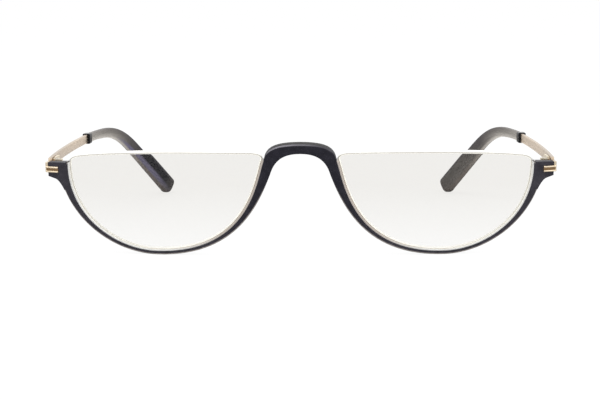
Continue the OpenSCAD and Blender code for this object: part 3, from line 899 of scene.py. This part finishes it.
SETTINGS = {
    "glasses_front": FrontSettings,
    "glasses_lenses": LensSettings,
    "glasses_temples": TempleSettings,
    "glasses_stage": StageSettings,
}


class Looks:
    """All the settings of a scene by one name each, as the materials read them."""

    def __init__(self, scene):
        self.groups = [getattr(scene, name) for name in SETTINGS]

    def __getattr__(self, name):
        for group in self.groups:
            if name in type(group).__annotations__:
                return getattr(group, name)
        raise AttributeError(name)


# Operators
class GLASSES_OT_front(bpy.types.Operator):
    """Builds the bowed plastic front with its rims, bridge and end pieces"""

    bl_idname = "glasses.front"
    bl_label = "Plastic front"

    def execute(self, context):
        look = Looks(context.scene)
        bm = bmesh.new()
        inner, outer = self.drawing()
        faces = ribbon(bm, *([Vector((p.x, 0, p.y)) for p in chain] for chain in (inner, outer)))
        grown = bmesh.ops.extrude_face_region(bm, geom=faces)
        bmesh.ops.translate(bm, vec=(0, FRONT_DEPTH, 0), verts=new_parts(grown, bmesh.types.BMVert))
        middle = [f for f in bm.faces if all(abs(v.co.x) < 1e-6 for v in f.verts)]
        bmesh.ops.delete(bm, geom=middle, context="FACES_ONLY")
        for v in bm.verts:
            behind, out = v.co.y > FRONT_DEPTH / 2, v.co.x > END_X - 1
            v.co = self.bowed(v.co)
            if behind and out:
                v.co.z = min(v.co.z, LEVEL_Z)
        self.add_block(bm)
        outwards(bm)
        geom = bm.verts[:] + bm.edges[:] + bm.faces[:]
        bmesh.ops.mirror(bm, geom=geom, axis="X", merge_dist=1e-6)
        outwards(bm)
        sharp = 32
        soften(bm, look.bridge_round, 5, sharp, self.over_the_bridge)
        soften(bm, look.under_round, 4, sharp, self.under_the_rim)
        soften(bm, look.edge_round, 3, sharp)
        plastic = shared("Satin charcoal plastic", frame_plastic, look)
        piece("plastic_front", bm, "front", [plastic], "front_frame")
        return {"FINISHED"}

    @staticmethod
    def drawing():
        """The flat drawing's right half as two chains of points, from the middle to the end piece."""
        side_i = next(i for i, p in enumerate(RIM_OUT) if p.x > LOW_X and p.y < LOW_Y + SIDE_REF)
        nose_i = max(i for i, p in enumerate(RIM_OUT) if p.y < LOW_Y + NOSE_REF)
        saddle = cubic(point2(0, UNDER_Y), *SADDLE_HANDLES, RIM_OUT[nose_i], 24)
        bridge_top = cubic(point2(0, OVER_Y), *BRIDGE_HANDLES, point2(NOSE_X, NOSE_Y), 28)
        inner = resampled(bridge_top + RIM_IN[:nose_i - 1:-1], BRIDGE_STEPS) + RIM_IN[nose_i - 1:side_i - 1:-1]
        outer = resampled(saddle, BRIDGE_STEPS) + RIM_OUT[nose_i - 1:side_i - 1:-1]
        inner += RIM_IN[side_i - 1::-1]
        outer += cubic(RIM_OUT[side_i], *FILLET_HANDLES, FILLET_END, side_i)[1:]
        low_end, high_end = point2(LUG_X, LUG_LOW + 0.1), point2(LUG_X, LUG_TOP - 0.3)
        top_end = point2(LUG_X - 0.3, LUG_TOP)
        inner += [point2(END_X - BEAK, BEAK_Y), FLANK, FLANK.lerp(top_end, 0.5), top_end]
        outer += [low_end.lerp(high_end, k / 3) for k in range(4)]
        return inner, outer

    @staticmethod
    def between_sides(edge, flatness, reach, way):
        """Whether an edge within reach runs between a flat face and a side that faces up (1) or down (-1)."""
        flat, side = sorted(edge.link_faces, key=flatness, reverse=True)
        middle = (edge.verts[0].co + edge.verts[1].co) / 2
        within = abs(middle.x) < reach * MM
        return within and flatness(flat) > 0.8 and side.normal.y ** 2 < 0.2 and way * side.normal.z > 0.2

    def over_the_bridge(self, edge):
        """Whether an edge runs between the front face and the bridge's upper side."""
        return self.between_sides(edge, lambda f: -f.normal.y, NOSE_X - 0.3, 1)

    def under_the_rim(self, edge):
        """Whether an edge runs between the front or back face and the rim's downward side."""
        return self.between_sides(edge, lambda f: f.normal.y ** 2, END_X + 1, -1)

    @staticmethod
    def bowed(co):
        """Bends a point of the flat, upright front round the bow and leans it back."""
        r = BOW_R - co.y
        return place(point2(co.x, co.z), BOW_R - math.sqrt(r * r - co.x * co.x))

    @staticmethod
    def add_block(bm):
        """The block behind an end piece that carries the hinge."""
        depth = bow_depth(LUG_X)
        for v in bmesh.ops.create_cube(bm, size=1)["verts"]:
            right, near, above = v.co.x > 0, v.co.y < 0, v.co.z > 0
            at = place(point2(LUG_X, BLOCK_LOW_Y), depth + (BLOCK_NEAR if near else BLOCK_DEEP))
            v.co = Vector((
                (LUG_X if right else BLOCK_INNER_X) * MM,
                at.y if near else (HINGE_FACE_Y - CENTRE_Y) * MM,
                LEVEL_Z - SEAT * MM if above else at.z,
            ))


class GLASSES_OT_lenses(bpy.types.Operator):
    """Builds the two open-topped lenses"""

    bl_idname = "glasses.lenses"
    bl_label = "Lenses"

    @staticmethod
    def edge():
        """A lens's outline as two open curves: along the rim, and back over the open top."""
        low = [p - LENS_GAP * away(RIM_IN, i) for i, p in enumerate(RIM_IN)]
        nose, outer = LENS_NOSE_CORNER, LENS_OUTER_CORNER
        top = cubic(low[-1], point2(-0.25, 1.3), point2(-2.1, -0.1), nose, 12)
        top += cubic(nose, point2(12, 0.3), point2(-12.8, 1.75), outer, 30)[1:]
        top += cubic(outer, point2(3.4, -0.47), point2(0, 1.6), low[0], 14)[1:]
        return low, top

    @staticmethod
    def depth(p, r, behind):
        """Depth of a lens surface of radius r whose middle is behind the front surface's."""
        turn = math.asin(LENS_MID.x / BOW_R)
        reach = BOW_R - r - behind + LENS_PROUD
        cx, cy = reach * math.sin(turn), BOW_R - reach * math.cos(turn)
        return cy - math.sqrt(r * r - (p.x - cx) ** 2 - (p.y - LENS_MID.y) ** 2)

    def dome(self, bm, loop, points, r, behind):
        """Closes one side of a lens with rings drawn in towards its middle, all lying on a sphere."""
        for k in range(1, LENS_RINGS + 1):
            share = 1 - k / LENS_RINGS
            drawn = [LENS_MID + share * (p - LENS_MID) for p in points]
            loop, _ = grown_loop(bm, loop, [place(p, self.depth(p, r, behind)) for p in drawn], k == LENS_RINGS)

    def execute(self, context):
        look = Looks(context.scene)
        bevel = look.bevel
        low, top = self.edge()
        outline = low + top[1:-1]
        inset, floor = drawn_in(outline, bevel), drawn_in(outline, GROOVE_D + SEAT)
        near, far = GROOVE_BACK - TONGUE_W / 2 - SEAT, GROOVE_BACK + TONGUE_W / 2 + SEAT
        fronts = [self.depth(p, LENS_FRONT_R, 0) for p in outline]
        materials = [
            shared("Clear lens", clear_lens, look),
            shared("Ground lens edge", ground_edge, look.edge_colour, look.edge_colour, look.edge_glow),
            shared("Lens edge bevel", ground_edge, look.bevel_colour, look.bevel_top_colour, BEVEL_GLOW),
        ]

        def back(p):
            return self.depth(p, LENS_BACK_R, LENS_T)

        def ring(points, further):
            return [place(p, d + further) for p, d in zip(points, fronts)]

        for side in SIDES:
            bm = bmesh.new()
            verts = [bm.verts.new(place(p, self.depth(p, LENS_FRONT_R, 0))) for p in inset]
            loop = verts, [bm.edges.new(pair) for pair in zip(verts, verts[1:] + verts[:1])]
            self.dome(bm, loop, inset, LENS_FRONT_R, 0)
            for material, to in (
                (2, ring(outline, bevel)),
                (1, ring(outline, near)),
                (1, ring(floor, near)),
                (1, ring(floor, far)),
                (1, ring(outline, far)),
                (1, [place(p, back(p) - bevel) for p in outline]),
                (0, [place(p, back(p)) for p in inset]),
            ):
                loop, faces = grown_loop(bm, loop, to)
                for f in faces:
                    f.material_index = material
            self.dome(bm, loop, inset, LENS_BACK_R, LENS_T)
            outwards(bm)
            sided(side, "clear_lens", bm, "front", materials, "lens", 30)
        return {"FINISHED"}


class GLASSES_OT_liners(bpy.types.Operator):
    """Builds the clear liners between lens and rim and the nylon cords over the lenses"""

    bl_idname = "glasses.liners"
    bl_label = "Liners and cords"

    def execute(self, context):
        look = Looks(context.scene)
        nylon = shared("Clear nylon", clear_nylon, look, look.nylon_colour)
        shaded = shared("Shaded nylon", clear_nylon, look, look.nylon_shade)
        by_the_rim = self.rim_stations()
        for side in SIDES:
            bm = bmesh.new()
            swept(bm, oblong(SEAT, LENS_GAP - SEAT, 1), by_the_rim)
            for v in bm.verts:
                self.to_faces(v)
            swept(bm, oblong(-GROOVE_D, LENS_GAP + GROOVE_D, TONGUE_W / 2), by_the_rim[1:-1])
            outwards(bm)
            sided(side, "clear_liner", bm, "front", [shaded], "rim_liner")
            bm = bmesh.new()
            swept(bm, circle(CORD_D, 12), self.cord_stations())
            sided(side, "nylon_cord", bm, "front", [nylon], "lens_cord", 60)
        return {"FINISHED"}

    @staticmethod
    def groove_depth(p):
        """Depth of the surface that runs through a lens's groove."""
        return GLASSES_OT_lenses.depth(p, LENS_FRONT_R - GROOVE_BACK, GROOVE_BACK)

    def lies(self, p):
        """Where a point of the flat drawing lies on the surface that runs through the lens's groove."""
        return place(p, self.groove_depth(p))

    def to_faces(self, v):
        """Moves a corner of the liner along the front's depth until it lies just inside its front or back face."""
        back, up = Vector((0, math.cos(LEAN), math.sin(LEAN))), Vector((0, -math.sin(LEAN), math.cos(LEAN)))
        flat = v.co + Vector((0, CENTRE_Y, -LIFT)) * MM
        x, y, depth = v.co.x / MM, flat.dot(up) / MM, flat.dot(back) / MM
        front = bow_depth(x) + LINER_IN
        rear = BOW_R - math.sqrt((BOW_R - FRONT_DEPTH + LINER_IN) ** 2 - x * x)
        v.co += back * ((front if depth < self.groove_depth(point2(x, y)) else rear) - depth) * MM

    def rim_stations(self):
        """Frames along the rim's inside edge: x towards the lens, y back and z along the rim."""
        line = [self.lies(p) for p in RIM_IN]
        out = []
        for i, p in enumerate(RIM_IN):
            inwards = -0.5 * away(RIM_IN, i)
            x, z = (self.lies(p + inwards) - self.lies(p - inwards)).normalized(), heading(line, i)
            out.append(frame_at(line[i], x, z.cross(x).normalized(), z))
        return out

    def cord_stations(self):
        """Frames along a cord, from its hole by the nose over the lens to its hole in the end piece."""
        _, top = GLASSES_OT_lenses.edge()
        over = [p - CORD_SUNK * away(top, i) for i, p in enumerate(top)][CORD_SKIPS]
        line = [self.lies(p) for p in (CORD_NOSE_END, *over, CORD_OUTER_END)]
        out = []
        for i, p in enumerate(line):
            z = heading(line, i)
            x = z.cross(Vector((0, 1, 0))).normalized()
            out.append(frame_at(p, x, z.cross(x), z))
        return out


class GLASSES_OT_temples(bpy.types.Operator):
    """Builds the gold strips, black collars and plastic tips"""

    bl_idname = "glasses.temples"
    bl_label = "Temples"

    def execute(self, context):
        look = Looks(context.scene)
        # The strip is painted paler towards the back and darker on its upper sides, as painted light and painted
        # shade
        strip = shared("Champagne strip", gold_metal, look.strip_colour, 0.26, 0.34, 0.08, 1.28, 0.66, 0.4)
        collar = shared("Glossy black collar", black_collar)
        # The two tips are one plastic in two copies, each with its side's painted light and highlight
        tips = {
            "left": shared("Smoke grey left tip", smoke_tip, look, look.tip_cool, look.tip_sheen),
            "right": shared("Smoke grey right tip", smoke_tip, look, look.tip_warm, look.tip_soft),
        }
        for side in SIDES:
            body = side + "_temple"
            bm = bmesh.new()
            self.bar(bm, 0, TIP_START - SEAT, 60, STRIP_T, STRIP_H)
            soften(bm, look.metal_round, 3)
            sided(side, "gold_strip", bm, body, [strip], "temple_strip")
            bm = bmesh.new()
            self.bar(bm, STRIP_L, TIP_START, 6, COLLAR_T, COLLAR_H)
            soften(bm, COLLAR_ROUND, 4)
            sided(side, "black_collar", bm, body, [collar], "collar")
            bm = bmesh.new()
            self.tip(bm)
            sided(side, "smoke_tip", bm, body, [tips[side]], "temple_tip", 60)
        return {"FINISHED"}

    @staticmethod
    def bar(bm, first, last, steps, wide, high):
        """A flat bar between two distances along the temple's path."""
        stops = [first + (last - first) * i / steps for i in range(steps + 1)]
        swept(bm, oblong(-0.5, 0.5, 0.5), [station(s, wide, high) for s in stops])
        outwards(bm)

    @staticmethod
    def tip(bm):
        """The tip, which widens along its length and closes in a rounded end."""
        section = []
        for k in range(TIP_SIDES):
            a = math.tau * (k + 0.5) / TIP_SIDES
            section.append(tuple(
                math.copysign(abs(f(a)) ** TIP_SQUARENESS, f(a)) / 2 for f in (math.cos, math.sin)
            ))
        steps = 72
        body_end = TIP_END - END_ROUND - 0.05
        stops = [(TIP_START + (body_end - TIP_START) * i / steps, 0.0) for i in range(steps + 1)]
        for a in (15, 30, 45, 60, 75, 90):
            turn = math.radians(a)
            stops.append((body_end + END_ROUND * math.sin(turn), END_ROUND * (1 - math.cos(turn)) * END_FLATNESS))
        stations = []
        for s, narrower in stops:
            t = (s - TIP_START) / (TIP_END - TIP_START)
            wide = TIP_T0 + (TIP_T1 - TIP_T0) * t - 2 * narrower
            high = TIP_H0 + (TIP_H1 - TIP_H0) * ease((t - SWELL_START) / SWELL_L) - 2 * narrower
            stations.append(station(s, wide, high))
        swept(bm, section, stations)


class GLASSES_OT_trims(bpy.types.Operator):
    """Builds the gold plates and double bars on the end pieces"""

    bl_idname = "glasses.trims"
    bl_label = "Corner trims"

    bars_y = LUG_LOW + 2
    reach = (BAR_PITCH + BAR_W) / 2

    def execute(self, context):
        look = Looks(context.scene)
        gold = shared("Polished gold trim", gold_metal, look.trim_colour, 0.16, 0.28)
        # A darker copy of the gold, painted shade for the recess between the bars
        ground = shared("Dark trim ground", gold_metal, look.ground_colour, 0.3, 0.45)
        for side in SIDES:
            bm = bmesh.new()
            self.side_plate(bm)
            self.front_plate(bm)
            outwards(bm)
            in_front = [f for f in bm.faces if f.calc_center_median().x < LUG_X * MM]
            # The plate's front face between the bars takes the painted shade
            min(in_front, key=lambda f: f.normal.y).material_index = 1
            soften(bm, TRIM_ROUND, 3)
            self.bars(bm)
            sided(side, "gold_corner", bm, "front", [gold, ground], "corner_trim", 50)
        return {"FINISHED"}

    def at_corner(self, x, y, z):
        """From the trim's own frame, x outwards from the end piece's outer front edge, to the row frame."""
        turn = math.asin((LUG_X - BAR_L / 2) / BOW_R)
        cos, sin = math.cos(turn), math.sin(turn)
        q = Vector((LUG_X, bow_depth(LUG_X), self.bars_y)) + Vector((x * cos - y * sin, x * sin + y * cos, z))
        return place(point2(q.x, q.z), q.y)

    def side_plate(self, bm):
        """The plate on the side of an end piece, level on top and a little narrower towards the hinge."""
        depth = bow_depth(LUG_X) - TRIM_OVER
        lower = place(point2(LUG_X, self.bars_y - self.reach), depth)
        upper = place(point2(LUG_X, LUG_TOP), depth)
        for v in bmesh.ops.create_cube(bm, size=1)["verts"]:
            out, behind, above = v.co.x > 0, v.co.y > 0, v.co.z > 0
            v.co = Vector((
                (LUG_X + (TRIM_T if out else SEAT)) * MM,
                (TRIM_BACK_Y - CENTRE_Y) * MM if behind else (upper if above else lower).y,
                LEVEL_Z if above else lower.z + (TRIM_NARROWS * MM if behind else 0),
            ))

    def front_plate(self, bm):
        """The thin ground under the two bars."""
        for v in bmesh.ops.create_cube(bm, size=1)["verts"]:
            v.co = self.at_corner(
                TRIM_T if v.co.x > 0 else TRIM_T - BAR_L,
                POCKET_D if v.co.y > 0 else POCKET_D - PLATE_T,
                self.reach if v.co.z > 0 else -self.reach,
            )

    def bars(self, bm):
        """Two round bars with rounded ends, sunk halfway into the front plate."""
        turns = [math.radians(a) for a in (8, 30, 50, 70, 90)]
        first, last, r = TRIM_T - BAR_L + BAR_W / 2, TRIM_T - BAR_W / 2, BAR_W / 2
        stops = [(first - r * math.cos(a), math.sin(a)) for a in turns]
        stops += [(last + r * math.cos(a), math.sin(a)) for a in reversed(turns)]
        origin = self.at_corner(0, 0, 0)
        x_axis = (self.at_corner(1, 0, 0) - origin).normalized()
        z_axis = (self.at_corner(0, 0, 1) - origin).normalized()
        y_axis = x_axis.cross(z_axis)
        for z in (-BAR_PITCH / 2, BAR_PITCH / 2):
            swept(bm, circle(BAR_W, 16), [
                frame_at(self.at_corner(x, POCKET_D - PLATE_T, z), z_axis * size, y_axis * size, x_axis)
                for x, size in stops
            ])


class GLASSES_OT_small_parts(bpy.types.Operator):
    """Gives the hinges, screws and core wires their finish"""

    bl_idname = "glasses.small_parts"
    bl_label = "Small parts"

    def execute(self, context):
        look = Looks(context.scene)
        # The hinge gold is made paler to paint light into the shade it sits in
        hinge = shared("Brushed hinge gold", gold_metal, look.hinge_colour, 0.25, 0.38)
        turned = shared("Turned steel", steel)
        finishes = {
            "front_hinge_leaf": hinge, "rear_hinge_leaf": hinge, "hinge_screw": turned, "core_wire": turned,
        }
        for side in SIDES:
            for part, material in finishes.items():
                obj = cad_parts[f"{side}_{part}"]
                obj.data.materials.clear()
                obj.data.materials.append(material)
        return {"FINISHED"}


class GLASSES_OT_stage(bpy.types.Operator):
    """Makes the floor, the light and the camera"""

    bl_idname = "glasses.stage"
    bl_label = "Stage"

    def execute(self, context):
        look = Looks(context.scene)
        self.floor(look)
        self.world()
        self.lamps(look)
        self.camera()
        context.scene.view_settings.view_transform = "Standard"
        return {"FINISHED"}

    @staticmethod
    def floor(look):
        """A pale floor. The camera sees it white, through the lenses too, and its plain colour lights the part."""
        bm = bmesh.new()
        bmesh.ops.create_grid(bm, x_segments=2, y_segments=2, size=12)
        material, tree, shader = new_material("Plain pale floor")
        path = tree.nodes.new("ShaderNodeLightPath").outputs
        seen = worked(tree, "MAXIMUM", path["Is Camera Ray"], path["Is Transmission Ray"])
        colour = blend(tree, seen, look.floor_colour, scaled(look.floor_colour, 0.14))
        tree.links.new(colour, shader.inputs["Base Color"])
        tree.links.new(worked(tree, "MULTIPLY", seen, 0.935), shader.inputs["Emission Strength"])
        shader.inputs["Emission Color"].default_value = (1, 1, 1, 1)
        shader.inputs["Roughness"].default_value = 0.9
        shader.inputs["Specular IOR Level"].default_value = 0
        new_object("floor", new_mesh("floor", bm, [material]))

    @staticmethod
    def world():
        """A white room, at full strength where it is seen, mirrored or looked at through a lens."""
        world = bpy.data.worlds.new("Studio")
        world.use_nodes = True
        tree = world.node_tree
        background = tree.nodes["Background"]
        background.inputs["Color"].default_value = (1, 1, 1, 1)
        path = tree.nodes.new("ShaderNodeLightPath").outputs
        seen = path["Is Camera Ray"]
        for ray in ("Is Glossy Ray", "Is Transmission Ray"):
            seen = worked(tree, "MAXIMUM", seen, path[ray])
        tree.links.new(ranged(tree, seen, 0.55, 1), background.inputs["Strength"])
        bpy.context.scene.world = world

    @staticmethod
    def lamps(look):
        """Broad soft lamps from both sides and from behind."""
        for name, at, size, power in LAMPS:
            data = bpy.data.lights.new(name, "AREA")
            data.size = size
            data.energy = power * look.light
            obj = new_object(name, data)
            obj.location = at
            obj.rotation_mode = "QUATERNION"
            obj.rotation_quaternion = (LAMP_AIM - Vector(at)).to_track_quat("-Z", "Y")

    @staticmethod
    def camera():
        """Stands where the photograph was taken from."""
        level = math.cos(CAMERA_PITCH)
        ahead = Vector((math.sin(CAMERA_TURN) * level, math.cos(CAMERA_TURN) * level, -math.sin(CAMERA_PITCH)))
        right = ahead.cross(Vector((0, 0, 1))).normalized()
        up = right.cross(ahead)
        cos, sin = math.cos(CAMERA_ROLL), math.sin(CAMERA_ROLL)
        right, up = cos * right + sin * up, cos * up - sin * right
        data = bpy.data.cameras.new("camera")
        data.sensor_fit = "HORIZONTAL"
        data.sensor_width = 36
        data.lens = CAMERA_LENS
        data.clip_start, data.clip_end = 0.01, 100
        m = Matrix((right, up, -ahead)).transposed().to_4x4()
        m.translation = CAMERA_AT
        obj = new_object("camera", data)
        obj.matrix_world = m
        bpy.context.scene.camera = obj


BUILDERS = (
    GLASSES_OT_front, GLASSES_OT_lenses, GLASSES_OT_liners, GLASSES_OT_trims, GLASSES_OT_temples,
    GLASSES_OT_small_parts, GLASSES_OT_stage,
)


class GLASSES_PT_panel(bpy.types.Panel):
    """Lists the pieces and their settings"""

    bl_idname = "GLASSES_PT_panel"
    bl_label = "Reading glasses"
    bl_space_type = "VIEW_3D"
    bl_region_type = "UI"
    bl_category = "Glasses"

    def draw(self, context):
        for name, cls in SETTINGS.items():
            for setting in cls.__annotations__:
                self.layout.prop(getattr(context.scene, name), setting)
        for operator in BUILDERS:
            self.layout.operator(operator.bl_idname)


CLASSES = (*SETTINGS.values(), *BUILDERS, GLASSES_PT_panel)


def register():
    for cls in CLASSES:
        bpy.utils.register_class(cls)
    for name, cls in SETTINGS.items():
        setattr(bpy.types.Scene, name, PointerProperty(type=cls))


def unregister():
    for name in SETTINGS:
        delattr(bpy.types.Scene, name)
    for cls in reversed(CLASSES):
        bpy.utils.unregister_class(cls)


def main():
    register()
    bpy.ops.glasses.front()
    bpy.ops.glasses.lenses()
    bpy.ops.glasses.liners()
    bpy.ops.glasses.trims()
    bpy.ops.glasses.temples()
    bpy.ops.glasses.small_parts()
    bpy.ops.glasses.stage()


if __name__ == "__main__":
    main()
